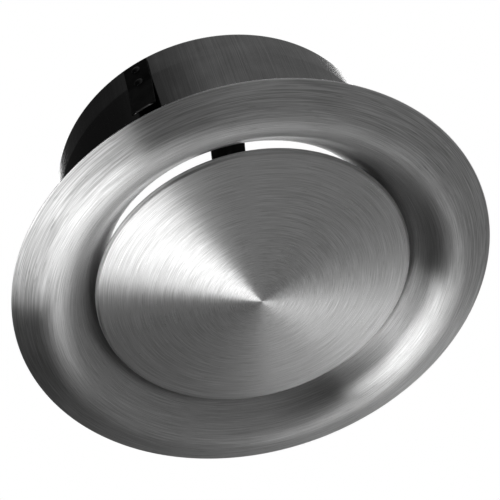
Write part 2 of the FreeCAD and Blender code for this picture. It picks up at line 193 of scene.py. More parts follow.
def noise_at(point):
    """Smooth noise from -1 to 1 at a point in space."""
    return max(-1.0, min(1.0, 1.6 * noise.noise(point)))


# ---- Mesh helpers ----------------------------------------------------------------------------

def turned(heading, degrees):
    """A half-section heading turned to the left."""
    angle = math.radians(degrees)
    return Vector((heading.x * math.cos(angle) - heading.y * math.sin(angle),
                   heading.x * math.sin(angle) + heading.y * math.cos(angle)))


def outline(start, heading_degrees, steps, offset, bend_step=3.0, run_step=1.5 * MM):
    """Points (radius, height) along runs and bends, offset to the right of the heading."""
    heading = turned(Vector((1, 0)), heading_degrees)
    point = Vector(start) + turned(heading, -90) * offset
    points = [point.copy()]
    for step in steps:
        if step[0] == "line":
            count = max(1, round(step[1] / run_step))
            points += [point + heading * (step[1] * (i + 1) / count) for i in range(count)]
            point = points[-1]
            continue
        side = 1 if step[2] > 0 else -1
        radius = step[1] + side * offset
        centre = point + turned(heading, 90 * side) * radius
        spoke = point - centre
        count = max(3, round(abs(step[2]) / bend_step))
        points += [centre + turned(spoke, step[2] * (i + 1) / count) for i in range(count)]
        point = points[-1]
        heading = turned(heading, step[2])
    return points


def sheet_section(start, heading, steps, thickness):
    """A closed half section of a spun sheet, with its cut edges slightly broken."""
    face = outline(start, heading, steps, 0.0)
    back = outline(start, heading, steps, thickness)

    def broken(first, second):
        return first.lerp(second, min(0.45, EDGE_BREAK / (second - first).length))

    ends = [broken(face[-1], face[-2]), broken(face[-1], back[-1]),
            broken(back[-1], face[-1]), broken(back[-1], back[-2])]
    starts = [broken(back[0], back[1]), broken(back[0], face[0]),
              broken(face[0], back[0]), broken(face[0], face[1])]
    if face[0].x < EDGE_BREAK:
        starts = [back[0], face[0]]
    return face[1:-1] + ends + back[-2:0:-1] + starts


def rounded(corners, radius, steps=5):
    """A closed half section with each corner rounded; a corner on the axis is kept."""
    points = []
    for index, corner in enumerate(corners):
        corner = Vector(corner)
        before = Vector(corners[index - 1]) - corner
        after = Vector(corners[(index + 1) % len(corners)]) - corner
        if corner.x < 1e-6:
            points.append(corner)
            continue
        reach = min(radius, 0.45 * before.length, 0.45 * after.length)
        start = corner + before.normalized() * reach
        end = corner + after.normalized() * reach
        for i in range(steps + 1):
            t = i / steps
            points.append(start * (1 - t) ** 2 + corner * (2 * t * (1 - t)) + end * t ** 2)
    return points


def new_object(name, bm, body, material, replaced, smooth_angle=40.0):
    """An object from a bmesh that rides on a body and stands for CAD nodes."""
    mesh = bpy.data.meshes.new(name)
    bmesh.ops.recalc_face_normals(bm, faces=bm.faces)
    limit = math.radians(smooth_angle)
    for face in bm.faces:
        face.smooth = True
    for edge in bm.edges:
        edge.smooth = len(edge.link_faces) == 2 and edge.calc_face_angle(0.0) < limit
    bm.to_mesh(mesh)
    bm.free()
    obj = bpy.data.objects.new(name, mesh)
    bpy.context.scene.collection.objects.link(obj)
    obj.data.materials.append(material)
    if body:
        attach(obj, body)
    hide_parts(*replaced)
    return obj


def skin(bm, loops, closed=False, wrapped=True):
    """Faces between successive loops of points; a loop of one point makes a pole."""
    rings = [[bm.verts.new(point) for point in loop] for loop in loops]
    count = max(len(ring) for ring in rings)
    pairs = list(zip(rings, rings[1:]))
    if closed:
        pairs.append((rings[-1], rings[0]))
    for first, second in pairs:
        for i in range(count if wrapped else count - 1):
            j = (i + 1) % count
            corners = [first[i % len(first)], first[j % len(first)],
                       second[j % len(second)], second[i % len(second)]]
            corners = list(dict.fromkeys(corners))
            if len(corners) > 2:
                bm.faces.new(corners)
    return rings


def circle(radius, z, segments):
    """A loop of points about the axis; at radius 0 it is one point."""
    if radius < 1e-7:
        return [Vector((0, 0, z))]
    turn = 2 * math.pi / segments
    return [Vector((radius * math.cos(turn * i), radius * math.sin(turn * i), z))
            for i in range(segments)]


def lathe(section, segments, closed=True):
    """A bmesh turned about the Z axis from (radius, height) points."""
    bm = bmesh.new()
    skin(bm, [circle(point[0], point[1], segments) for point in section], closed)
    return bm


def plate(bm, outer, inner, low, high, edge):
    """A flat plate between an outer and an inner outline of (x, y) points, edges broken."""
    def level(points, z, inset, sign):
        if not inset:
            return [Vector((p[0], p[1], z)) for p in points]
        moved = []
        for i, point in enumerate(points):
            along = Vector(points[(i + 1) % len(points)]) - Vector(points[i - 1])
            side = Vector((-along.y, along.x)).normalized() * inset * sign
            moved.append(Vector((point[0] + side.x, point[1] + side.y, z)))
        return moved

    loops = [level(inner, low, edge, -1), level(outer, low, edge, 1),
             level(outer, low + edge, 0, 1), level(outer, high - edge, 0, 1),
             level(outer, high, edge, 1), level(inner, high, edge, -1),
             level(inner, high - edge, 0, 1), level(inner, low + edge, 0, 1)]
    skin(bm, loops, closed=True)


def around(angle, radius, z=0.0):
    """The point at an angle in degrees and a radius."""
    return Vector((radius * math.cos(math.radians(angle)),
                   radius * math.sin(math.radians(angle)), z))


# ---- Spun pieces -----------------------------------------------------------------------------

def front_ring():
    section = sheet_section((RIM_RADIUS, 0), 180 + RIM_SLOPE, RING_STEPS, SHEET)
    new_object("ring", lathe(section, SEGMENTS), "valve_body", ring_steel,
               ["front_ring"])


def spigot():
    """The sheet sleeve, with its rear edge tapered and its front edge flared."""
    throat_top = outline((RIM_RADIUS, 0), 180 + RIM_SLOPE, RING_STEPS[:2], SHEET + LAP_GAP)[-1]
    slope = math.radians(THROAT_SLOPE)
    inner = NECK_RADIUS - NECK_SHEET
    bend = math.radians(90 - THROAT_SLOPE)
    flare_radius = inner + FLARE_BEND * (1 - math.cos(bend))
    flare_z = throat_top.y + (throat_top.x - flare_radius) * math.tan(slope)
    bend_z = flare_z + FLARE_BEND * math.sin(bend)
    taper = NECK_RADIUS - NECK_REAR_RADIUS
    height = NECK_REAR_Z - NECK_CREASE_Z
    angle = math.degrees(math.atan(taper / height))
    steps = (
        ("line", math.hypot(taper, height)),
        ("bend", NECK_SHEET, -angle),
        ("line", NECK_CREASE_Z - NECK_SHEET * taper / height - bend_z),
        ("bend", FLARE_BEND, 90 - THROAT_SLOPE),
        ("line", FLARE_FLAT),
    )
    section = sheet_section((inner - taper, NECK_REAR_Z), -90 + angle, steps, -NECK_SHEET)
    new_object("spigot", lathe(section, SEGMENTS), "valve_body", neck_steel,
               ["neck_sleeve"])


def disc():
    slope = math.radians(DISC_SLOPE)
    cone = (DISC_RADIUS - DISC_TIP_BEND * math.sin(slope)
            - DISC_EDGE_BEND * (1 - math.sin(slope))) / math.cos(slope)
    steps = (
        ("bend", DISC_TIP_BEND, DISC_SLOPE),
        ("line", cone),
        ("bend", DISC_EDGE_BEND, 90 - DISC_SLOPE),
        ("line", DISC_LIP),
    )
    section = sheet_section((0, DISC_APEX_Z), 0, steps, -SHEET)
    new_object("disc_cone", lathe(section, SEGMENTS), "disc", disc_steel,
               ["disc_shell"])


def gasket():
    """The foam ring: a soft section whose skin is pitted all over."""
    corners = ((GASKET_INNER, 0), (GASKET_OUTER, 0), (GASKET_OUTER, -GASKET_RIM),
               (GASKET_OUTER - GASKET_CHAMFER, -GASKET_DEPTH),
               (GASKET_INNER + GASKET_BORE_CHAMFER, -GASKET_DEPTH),
               (GASKET_INNER, -GASKET_BORE_CHAMFER))
    coarse = rounded(corners, GASKET_ROUND)
    section = []
    for index, point in enumerate(coarse):
        following = coarse[(index + 1) % len(coarse)]
        count = max(1, round((following - point).length / FOAM_STEP))
        section += [point.lerp(following, i / count) for i in range(count)]
    middle = Vector((0.5 * (GASKET_INNER + GASKET_OUTER), -0.4 * GASKET_DEPTH))
    loops = []
    for point in section:
        loop = circle(point.x, point.y, FOAM_SEGMENTS)
        for spot in loop:
            outward = Vector((spot.x, spot.y, 0)).normalized()
            centre = outward * middle.x + Vector((0, 0, middle.y))
            pit = FOAM_PIT_DEPTH * (1 + noise_at(spot * FOAM_PITS))
            spot += (centre - spot).normalized() * pit
        loops.append(loop)
    bm = bmesh.new()
    skin(bm, loops, closed=True)
    new_object("foam_ring", bm, "valve_body", foam, ["ceiling_gasket"], 75.0)


# ---- Bridge ----------------------------------------------------------------------------------

def strap_outline():
    """Outline of the strap about the axis, and the matching points of its hole."""
    half = BRIDGE_WIDTH / 2
    end = BRIDGE_LENGTH / 2 - half
    side = math.sqrt(BRIDGE_BOSS_RADIUS ** 2 - half ** 2)
    outer = []
    for sign in (1, -1):
        outer += [Vector((sign * (end + half * math.cos(math.radians(a))),
                          sign * half * math.sin(math.radians(a)))) for a in range(-90, 91, 10)]
        outer += [Vector((sign * (end + (side - end) * i / 12), sign * half))
                  for i in range(1, 12)]
        boss = math.degrees(math.atan2(half, side))
        count = 24
        for i in range(count + 1):
            angle = boss + (180 - 2 * boss) * i / count
            outer.append(sign * around(angle, BRIDGE_BOSS_RADIUS).xy)
        outer += [Vector((-sign * (side + (end - side) * i / 12), sign * half))
                  for i in range(1, 12)]
    hole = BUSH_RADIUS + BUSH_FIT
    inner = [point.normalized() * hole for point in outer]
    return outer, inner


def strap():
    outer, inner = strap_outline()
    bm = bmesh.new()
    plate(bm, outer, inner, SEAT_Z, BRIDGE_REAR_Z, BRIDGE_EDGE)
    rib_start = BRIDGE_BOSS_RADIUS + RIB_FROM_BOSS
    rib_end = SEAT_MID_RADIUS - RIB_FROM_SEAT
    width = BRIDGE_WIDTH / 6
    straight = (rib_end - rib_start) / 2 - width
    for sign in (1, -1):
        centre = sign * (rib_start + rib_end) / 2
        loops = []
        for i in range(9):
            rise = math.sin(math.radians(90 * i / 8))
            spread = width * (1.15 - 0.15 * i / 8) * math.sqrt(max(0.0, 1 - rise ** 2) + 0.02)
            loop = []
            for half_turn in (-90, 90):
                for a in range(half_turn, half_turn + 181, 15):
                    shift = straight if half_turn < 0 else -straight
                    loop.append(around(a, spread) + Vector((
                        centre + shift, 0, BRIDGE_REAR_Z + 0.5 * BRIDGE_SHEET * rise)))
            loops.append(loop)
        rings = skin(bm, loops)
        bm.faces.new(rings[-1])
    # the strap's material is painted shade: near black for the shadow it lies in behind the disc
    new_object("strap", bm, "valve_body", strap_shade_black, ["bridge_strap"])


def bush():
    front = SEAT_Z - BUSH_FRONT
    corners = ((BORE, front), (BUSH_RADIUS, front), (BUSH_RADIUS, SEAT_Z - BUSH_FLANGE_HEIGHT),
               (BUSH_FLANGE_RADIUS, SEAT_Z - BUSH_FLANGE_HEIGHT), (BUSH_FLANGE_RADIUS, SEAT_Z),
               (BUSH_RADIUS, SEAT_Z), (BUSH_RADIUS, BUSH_REAR_Z), (BORE, BUSH_REAR_Z))
    new_object("bush", lathe(rounded(corners, 0.35 * MM), 96), "valve_body", zinc,
               ["bridge_bush"])


def add_rivet(bm, seat, tail):
    """A dome-headed rivet between the seat of its head and the seat of its tail."""
    outward = (seat - tail).normalized()
    span = (seat - tail).length
    head = [(RIVET_HEAD * math.sin(math.radians(a)) * 0.94, RIVET_DOME * math.cos(math.radians(a)))
            for a in range(0, 91, 9)]
    head[-1] = (RIVET_HEAD * 0.985, 0.14 * MM)
    tail_radius = RIVET_HEAD - RIVET_TAIL / 2
    profile = head + [
        (RIVET_HEAD, 0.06 * MM), (RIVET_HEAD * 0.97, 0.0), (RIVET_SHANK, 0.0),
        (RIVET_SHANK, -span), (tail_radius * 0.93, -span), (tail_radius, -span - 0.1 * MM),
        (tail_radius * 0.97, -span - 0.3 * MM), (tail_radius * 0.7, -span - RIVET_TAIL),
        (tail_radius * 0.35, -span - RIVET_TAIL * 0.86), (0, -span - RIVET_TAIL * 0.8),
    ]
    placing = Matrix.Translation(seat) @ outward.to_track_quat("Z", "Y").to_matrix().to_4x4()
    skin(bm, [[placing @ p for p in circle(r, z, 40)] for r, z in profile])


def strap_rivets():
    bm = bmesh.new()
    for x in (-SEAT_MID_RADIUS, SEAT_MID_RADIUS):
        for y in (-BRIDGE_RIVET_SPREAD, BRIDGE_RIVET_SPREAD):
            add_rivet(bm, Vector((x, y, BRIDGE_REAR_Z)), Vector((x, y, SEAT_Z - SHEET)))
    new_object("strap_rivets", bm, "valve_body", rivet_steel, ["bridge_rivets"])


# ---- Screw and its pieces --------------------------------------------------------------------

def nut(name, body, bottom, height, node):
    """A chamfered hexagon nut, its flats running out in the usual curved edges."""
    samples = 96
    flat = NUT_ACROSS_FLATS / 2
    reach = []
    for i in range(samples):
        angle = 360 / samples * i
        reach.append((angle, flat / math.cos(math.radians(angle % 60 - 30))))
    face = flat * 0.95
    slope = math.tan(math.radians(30))
    top = bottom + height

    def ends(z, sign):
        return [circle(BORE, z + sign * 0.5 * MM, samples),
                circle(BORE + 0.5 * MM, z, samples), circle(face, z, samples),
                [around(a, r - 0.12 * MM, z + sign * (r - face) * slope) for a, r in reach],
                [around(a, r, z + sign * ((r - face) * slope + 0.15 * MM)) for a, r in reach]]

    bm = bmesh.new()
    skin(bm, ends(bottom, 1) + ends(top, -1)[::-1], closed=True)
    new_object(name, bm, body, zinc, [node], 28.0)


def thread(bm, start, end):
    """A helical thread whose crest fades into the core at both ends."""
    steps = 48
    turns = (end - start) / THREAD_PITCH
    across = ((0.0, THREAD_ROOT), (0.16, THREAD_ROOT), (0.5, THREAD_RADIUS),
              (0.66, THREAD_RADIUS), (1.0, THREAD_ROOT))
    loops = []
    for i in range(int(steps * (turns - 1)) + 1):
        turn = i / steps
        fade = min(1.0, turn / 0.6, (turns - 1 - turn) / 0.6)
        loop = []
        for along, radius in across:
            height = THREAD_ROOT + (radius - THREAD_ROOT) * fade
            loop.append(around(360 * turn, height, start + (turn + along) * THREAD_PITCH))
        loops.append(loop)
    skin(bm, loops, wrapped=False)


def spindle():
    """The screw: rolled thread, collar behind the bracket and a groove near its rear end."""
    core = THREAD_ROOT - 0.01 * MM
    collar_rear = BRACKET_REAR_Z + COLLAR_HEIGHT
    groove_low = STOP_RING_Z - CLEARANCE
    groove_high = STOP_RING_Z + STOP_RING_HEIGHT + CLEARANCE
    corners = ((0, SPINDLE_FRONT_Z), (core, SPINDLE_FRONT_Z), (core, BRACKET_REAR_Z),
               (COLLAR_RADIUS, BRACKET_REAR_Z), (COLLAR_RADIUS, collar_rear),
               (core, collar_rear), (core, groove_high + 0.25 * MM),
               (THREAD_RADIUS, groove_high + 0.25 * MM), (THREAD_RADIUS, SPINDLE_REAR_Z),
               (0, SPINDLE_REAR_Z))
    bm = lathe(rounded(corners, 0.5 * MM), 64)
    thread(bm, SPINDLE_FRONT_Z, BRACKET_REAR_Z + 0.6 * MM)
    thread(bm, collar_rear, groove_low)
    new_object("screw", bm, "disc", zinc, ["spindle"])


def stop_ring():
    """An open retaining ring with three inner lobes."""
    inner_radius = STOP_GROOVE_RADIUS + CLEARANCE
    notch = STOP_RING_NOTCH
    mouth = math.degrees(math.asin(STOP_GROOVE_RADIUS / STOP_RING_RADIUS))
    inner_mouth = math.degrees(math.asin(STOP_GROOVE_RADIUS / inner_radius))
    count = 96
    outer, inner = [], []
    for i in range(count + 1):
        share = i / count
        outer.append(around(mouth + (360 - 2 * mouth) * share, STOP_RING_RADIUS))
        angle = inner_mouth + (360 - 2 * inner_mouth) * share
        radius = inner_radius
        for centre in (120, 240):
            off = math.radians(angle - centre)
            if abs(inner_radius * math.sin(off)) < notch and abs(off) < 1:
                far = math.sqrt(notch ** 2 - (inner_radius * math.sin(off)) ** 2)
                radius = max(radius, inner_radius * math.cos(off) + far)
        inner.append(around(angle, radius))
    low, high, edge = STOP_RING_Z, STOP_RING_Z + STOP_RING_HEIGHT, STOP_RING_EDGE
    up = Vector((0, 0, 1))
    bm = bmesh.new()
    loops = []
    for outside, inside in zip(outer, inner):
        across = (outside - inside).normalized() * edge
        loops.append([inside + across + up * low, outside - across + up * low,
                      outside + up * (low + edge), outside + up * (high - edge),
                      outside - across + up * high, inside + across + up * high,
                      inside + up * (high - edge), inside + up * (low + edge)])
    rings = skin(bm, loops)
    bm.faces.new(rings[0])
    bm.faces.new(rings[-1])
    new_object("stop_clip", bm, "stop_ring", spring_steel, ["spindle_stop_ring"])


def toothed_washer():
    """The lock washer: each outer tooth is twisted out of the plane."""
    thin = LOCK_WASHER_SHEET
    middle = BUSH_REAR_Z + LOCK_WASHER_HEIGHT / 2
    twist = (LOCK_WASHER_HEIGHT - thin) / 2
    root = LOCK_WASHER_RADIUS - LOCK_WASHER_TOOTH
    bore = THREAD_RADIUS + LOCK_WASHER_CLEARANCE
    pitch = 360 / LOCK_WASHER_TEETH
    tooth = pitch * 0.62
    stations = []
    for index in range(LOCK_WASHER_TEETH):
        start = index * pitch - tooth / 2
        for i in range(7):
            stations.append((start + tooth * i / 6, LOCK_WASHER_RADIUS, twist * (2 * i / 6 - 1)))
        stations.append((start + tooth * 1.02, root, 0.0))
        stations.append((start + pitch - tooth * 0.02, root, 0.0))
    bm = bmesh.new()
    loops = [[(angle, bore, 0.0) for angle, r, lift in stations],
             [(angle, root, lift * 0.3) for angle, r, lift in stations], stations]
    below = [[around(a, r, middle - thin / 2 + lift) for a, r, lift in loop] for loop in loops]
    above = [[around(a, r, middle + thin / 2 + lift) for a, r, lift in loop] for loop in loops]
    skin(bm, below + above[::-1], closed=True)
    new_object("toothed_washer", bm, "lock_washer", spring_steel,
               ["lock_washer"], 30.0)


def disc_back_z(radius):
    """Height of the back of the disc's cone at a radius."""
    slope = math.radians(DISC_SLOPE)
    tip_run = DISC_TIP_BEND * math.sin(slope)
    tip_rise = DISC_TIP_BEND * (1 - math.cos(slope))
    face = DISC_APEX_Z + tip_rise + (radius - tip_run) * math.tan(slope)
    return face + SHEET / math.cos(slope)


def bracket():
    """The hat on the back of the disc, pressed with round bends."""
    flange_inner = BRACKET_RADIUS - BRACKET_FLANGE
    outer_front = disc_back_z(BRACKET_RADIUS) + LAP_GAP
    inner_front = disc_back_z(flange_inner) + LAP_GAP
    top_front = BRACKET_REAR_Z - SHEET
    corners = ((BRACKET_RADIUS, outer_front), (flange_inner, inner_front),
               (BRACKET_TOP_RADIUS, top_front), (BORE, top_front), (BORE, BRACKET_REAR_Z),
               (BRACKET_TOP_RADIUS + BRACKET_WALL / 2, BRACKET_REAR_Z),
               (flange_inner + BRACKET_WALL, inner_front + SHEET),
               (BRACKET_RADIUS, outer_front + SHEET))
    new_object("bracket", lathe(rounded(corners, BRACKET_BEND, 8), 180), "disc", bracket_steel,
               ["disc_bracket"])


def washer():
    bottom = BRACKET_REAR_Z - SHEET - WASHER_HEIGHT
    top = bottom + WASHER_HEIGHT
    corners = ((BORE, bottom), (WASHER_RADIUS, bottom), (WASHER_RADIUS, top), (BORE, top))
    new_object("flat_washer", lathe(rounded(corners, 0.25 * MM), 96), "disc", zinc,
               ["disc_washer"])


# ---- Spring clips ----------------------------------------------------------------------------

def clip_seat(z):
    """Radius of the clip's inner face where it lies on the spigot."""
    taper = (NECK_RADIUS - NECK_REAR_RADIUS) / (NECK_REAR_Z - NECK_CREASE_Z)
    return NECK_RADIUS + 0.05 * MM - taper * max(0.0, z - NECK_CREASE_Z)


def clip_path():
    """The clip's side view as (outward, height) points of its inner face.

    It lies on the spigot down to CLIP_BEND_Z, splays outward and curls up at its free end.
    """
    front = clip_seat(CLIP_BEND_Z)
    root = front + CLIP_LIFT
    knots = [Vector((clip_seat(CLIP_REAR_Z), CLIP_REAR_Z)), Vector((front, NECK_CREASE_Z)),
             Vector((front, CLIP_BEND_Z + 0.5 * MM)), Vector((root, CLIP_BEND_Z - 0.5 * MM)),
             Vector((root + CLIP_SPLAY * 0.84, CLIP_TIP_Z + 2.4 * MM)),
             Vector((root + CLIP_SPLAY * 0.95, CLIP_TIP_Z + 1.1 * MM)),
             Vector((root + CLIP_SPLAY * 1.25, CLIP_TIP_Z + 0.1 * MM))]
    points = []
    for first, second in zip(knots, knots[1:]):
        count = max(2, round((second - first).length / CLIP_STEP))
        points += [first.lerp(second, i / count) for i in range(count)]
    points.append(knots[-1])
    for _ in range(3):
        middle = [(a + b * 2 + c) / 4 for a, b, c in zip(points, points[1:], points[2:])]
        points = points[:1] + middle + points[-1:]
    return points


def clip(number, angle):
    """One continuous strip of spring steel with a rounded and curled free end."""
    points = clip_path()
    lengths = [0.0]
    for first, second in zip(points, points[1:]):
        lengths.append(lengths[-1] + (second - first).length)
    bm = bmesh.new()
    loops = []
    edge = CLIP_EDGE
    for index, (point, length) in enumerate(zip(points, lengths)):
        before = points[max(0, index - 1)]
        after = points[min(len(points) - 1, index + 1)]
        along = (after - before).normalized()
        outward = Vector((-along.y, along.x))
        if outward.x < 0:
            outward = -outward
        half = CLIP_WIDTH / 2 - corner_cut(length, CLIP_ROOT_ROUND)
        half -= corner_cut(lengths[-1] - length, CLIP_TIP_ROUND)
        inner = Vector((point.x, 0, point.y))
        lift = Vector((outward.x, 0, outward.y)) * CLIP_SHEET
        thin = lift * (edge / CLIP_SHEET)
        side = Vector((0, 1, 0))
        loop = [inner + side * (edge - half), inner + side * (half - edge),
                inner + thin + side * half, inner + lift - thin + side * half,
                inner + lift + side * (half - edge), inner + lift + side * (edge - half),
                inner + lift - thin - side * half, inner + thin - side * half]
        loops.append(loop)
    rings = skin(bm, loops)
    bm.faces.new(rings[0])
    bm.faces.new(rings[-1])
    turn = Matrix.Rotation(math.radians(angle), 4, "Z")
    bmesh.ops.transform(bm, matrix=turn, verts=bm.verts)
    obj = new_object("clip_spring_%d" % number, bm, None, clip_black,
                     ["clip_base_%d" % number, "clip_leaf_%d" % number], 32.0)
    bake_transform(obj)


def corner_cut(distance, radius):
    """How much a rounded corner takes off a strip's half width, so far from its end."""
    if distance >= radius:
        return 0.0
    return radius - math.sqrt(radius ** 2 - (radius - distance) ** 2)


def clip_rivets():
    bm = bmesh.new()
    tilt = math.atan((NECK_RADIUS - NECK_REAR_RADIUS) / (NECK_REAR_Z - NECK_CREASE_Z))
    for angle in CLIP_ANGLES:
        turn = Matrix.Rotation(math.radians(angle), 4, "Z")
        for z in CLIP_RIVET_Z:
            lean = tilt if z > NECK_CREASE_Z else 0.0
            outward = Vector((math.cos(lean), 0, math.sin(lean)))
            seat = Vector((clip_seat(z), 0, z))
            head = seat + outward * (CLIP_SHEET + 0.05 * MM)
            tail = seat - outward * (NECK_SHEET + 0.15 * MM)
            add_rivet(bm, turn @ head, turn @ tail)
    new_object("clip_rivet_set", bm, "valve_body", rivet_black, ["clip_rivets"])


# ---- Material helpers ------------------------------------------------------------------------

def shader(name):
    """A new material, its node tree and its principled shader."""
    material = bpy.data.materials.new(name)
    material.use_nodes = True
    tree = material.node_tree
    tree.nodes.clear()
    output = tree.nodes.new("ShaderNodeOutputMaterial")
    principled = tree.nodes.new("ShaderNodeBsdfPrincipled")
    tree.links.new(principled.outputs["BSDF"], output.inputs["Surface"])
    return material, tree, principled


def feed(tree, value, socket):
    """A number or another node's output put into an input socket."""
    if isinstance(value, bpy.types.NodeSocket):
        tree.links.new(value, socket)
    else:
        socket.default_value = value


def calc(tree, operation, first, second=0.0):
    """A math node's output."""
    node = tree.nodes.new("ShaderNodeMath")
    node.operation = operation
    feed(tree, first, node.inputs[0])
    feed(tree, second, node.inputs[1])
    return node.outputs[0]


def place(tree):
    """Outputs for x, y and z of a surface point in the object's own space."""
    coordinates = tree.nodes.new("ShaderNodeTexCoord")
    split = tree.nodes.new("ShaderNodeSeparateXYZ")
    tree.links.new(coordinates.outputs["Object"], split.inputs[0])
    return split.outputs


def polar(tree, x, y):
    """Outputs for the radius and for x and y of the unit circle direction."""
    square = calc(tree, "ADD", calc(tree, "MULTIPLY", x, x), calc(tree, "MULTIPLY", y, y))
    radius = calc(tree, "SQRT", square)
    safe = calc(tree, "MAXIMUM", radius, 1e-5)
    return radius, calc(tree, "DIVIDE", x, safe), calc(tree, "DIVIDE", y, safe)


def noise_node(tree, vector, scale, detail=2.0, roughness=0.5):
    """A noise texture's value at a vector socket."""
    node = tree.nodes.new("ShaderNodeTexNoise")
    node.inputs["Scale"].default_value = scale
    node.inputs["Detail"].default_value = detail
    node.inputs["Roughness"].default_value = roughness
    tree.links.new(vector, node.inputs["Vector"])
    return node.outputs["Fac"]


def combine(tree, x, y, z):
    """A vector socket from three numbers or sockets."""
    node = tree.nodes.new("ShaderNodeCombineXYZ")
    for index, value in enumerate((x, y, z)):
        feed(tree, value, node.inputs[index])
    return node.outputs[0]


def remap(tree, value, low, high, to_low, to_high):
    """A value moved from one range to another, clamped."""
    node = tree.nodes.new("ShaderNodeMapRange")
    tree.links.new(value, node.inputs["Value"])
    node.inputs["From Min"].default_value = low
    node.inputs["From Max"].default_value = high
    node.inputs["To Min"].default_value = to_low
    node.inputs["To Max"].default_value = to_high
    return node.outputs[0]


def ramp(tree, value, stops):
    """A colour ramp."""
    node = tree.nodes.new("ShaderNodeValToRGB")
    tree.links.new(value, node.inputs[0])
    elements = node.color_ramp.elements
    while len(elements) < len(stops):
        elements.new(0.5)
    for element, (position, colour) in zip(elements, stops):
        element.position = position
        element.color = (*colour, 1.0)
    return node.outputs[0]


def blend_colour(tree, amount, first, second):
    """One colour mixed into another by an amount socket."""
    node = tree.nodes.new("ShaderNodeMix")
    node.data_type = "RGBA"
    tree.links.new(amount, node.inputs["Factor"])
    for socket, value in ((node.inputs["A"], first), (node.inputs["B"], second)):
        feed(tree, (*value, 1.0) if isinstance(value, tuple) else value, socket)
    return node.outputs["Result"]


def bump(tree, principled, height, strength, distance):
    """A bump from a height socket."""
    node = tree.nodes.new("ShaderNodeBump")
    node.inputs["Strength"].default_value = strength
    node.inputs["Distance"].default_value = distance
    tree.links.new(height, node.inputs["Height"])
    tree.links.new(node.outputs["Normal"], principled.inputs["Normal"])


def edges(tree, low, high):
    """1 on the worn outer edges of a small piece and 0 elsewhere."""
    geometry = tree.nodes.new("ShaderNodeNewGeometry")
    return remap(tree, geometry.outputs["Pointiness"], low, high, 0.0, 1.0)


def grain_direction(tree, principled, rotation, anisotropy):
    """Gloss spread across grooves about the Z axis (rotation 0.25) or along it (0)."""
    tangent = tree.nodes.new("ShaderNodeTangent")
    tangent.direction_type = "RADIAL"
    tangent.axis = "Z"
    tree.links.new(tangent.outputs[0], principled.inputs["Tangent"])
    principled.inputs["Anisotropic"].default_value = anisotropy
    principled.inputs["Anisotropic Rotation"].default_value = rotation


def weld_marks(tree, x, y, radius, weld_radius, count, size):
    """1 inside a ring of spot-weld marks about the axis, fading to 0 at their edges."""
    turn = calc(tree, "MULTIPLY", calc(tree, "ARCTAN2", y, x), count / (2 * math.pi))
    cell = calc(tree, "SUBTRACT", calc(tree, "FRACT", calc(tree, "ADD", turn, count)), 0.5)
    arc = calc(tree, "MULTIPLY", cell, 2 * math.pi * weld_radius / count)
    out = calc(tree, "SUBTRACT", radius, weld_radius)
    far = calc(tree, "SQRT", calc(tree, "ADD", calc(tree, "MULTIPLY", arc, arc),
                                  calc(tree, "MULTIPLY", out, out)))
    return remap(tree, far, size * 0.6, size, 1.0, 0.0)


def turned_steel(name, dark, light, roughness, anisotropy, line, arc, rim):
    """Stainless steel with concentric brushing about the Z axis and a rubbed rim."""
    material, tree, principled = shader(name)
    x, y, z = place(tree)
    radius, across, along = polar(tree, x, y)
    depth = calc(tree, "SUBTRACT", radius, z)

    def rings(fineness, length):
        return combine(tree, calc(tree, "MULTIPLY", depth, fineness / line),
                       calc(tree, "MULTIPLY", across, length),
                       calc(tree, "MULTIPLY", along, length))

    fine = noise_node(tree, rings(1.0, arc), 1.0, 2.0, 0.6)
    scratches = remap(tree, noise_node(tree, rings(0.8, arc * 2.5), 1.0, 1.0, 0.5),
                      0.66, 0.78, 0.0, 0.6)
    smudge = noise_node(tree, combine(tree, x, y, z), 38.0, 3.0, 0.55)
    colour = ramp(tree, fine, ((0.34, dark), (0.66, light)))
    colour = blend_colour(tree, scratches, colour, tuple(0.55 * c for c in dark))
    worn = remap(tree, radius, rim - 0.45 * MM, rim - 0.1 * MM, 0.0, 1.0)
    tree.links.new(blend_colour(tree, worn, colour, tuple(min(1.0, c * 1.25) for c in light)),
                   principled.inputs["Base Color"])
    gloss = remap(tree, fine, 0.3, 0.7, roughness * 1.07, roughness * 0.93)
    tree.links.new(calc(tree, "MULTIPLY", gloss, remap(tree, smudge, 0.35, 0.65, 0.96, 1.06)),
                   principled.inputs["Roughness"])
    principled.inputs["Metallic"].default_value = 1.0
    grain_direction(tree, principled, 0.25, anisotropy)
    bump(tree, principled, fine, 0.02, 0.02 * MM)
    return material


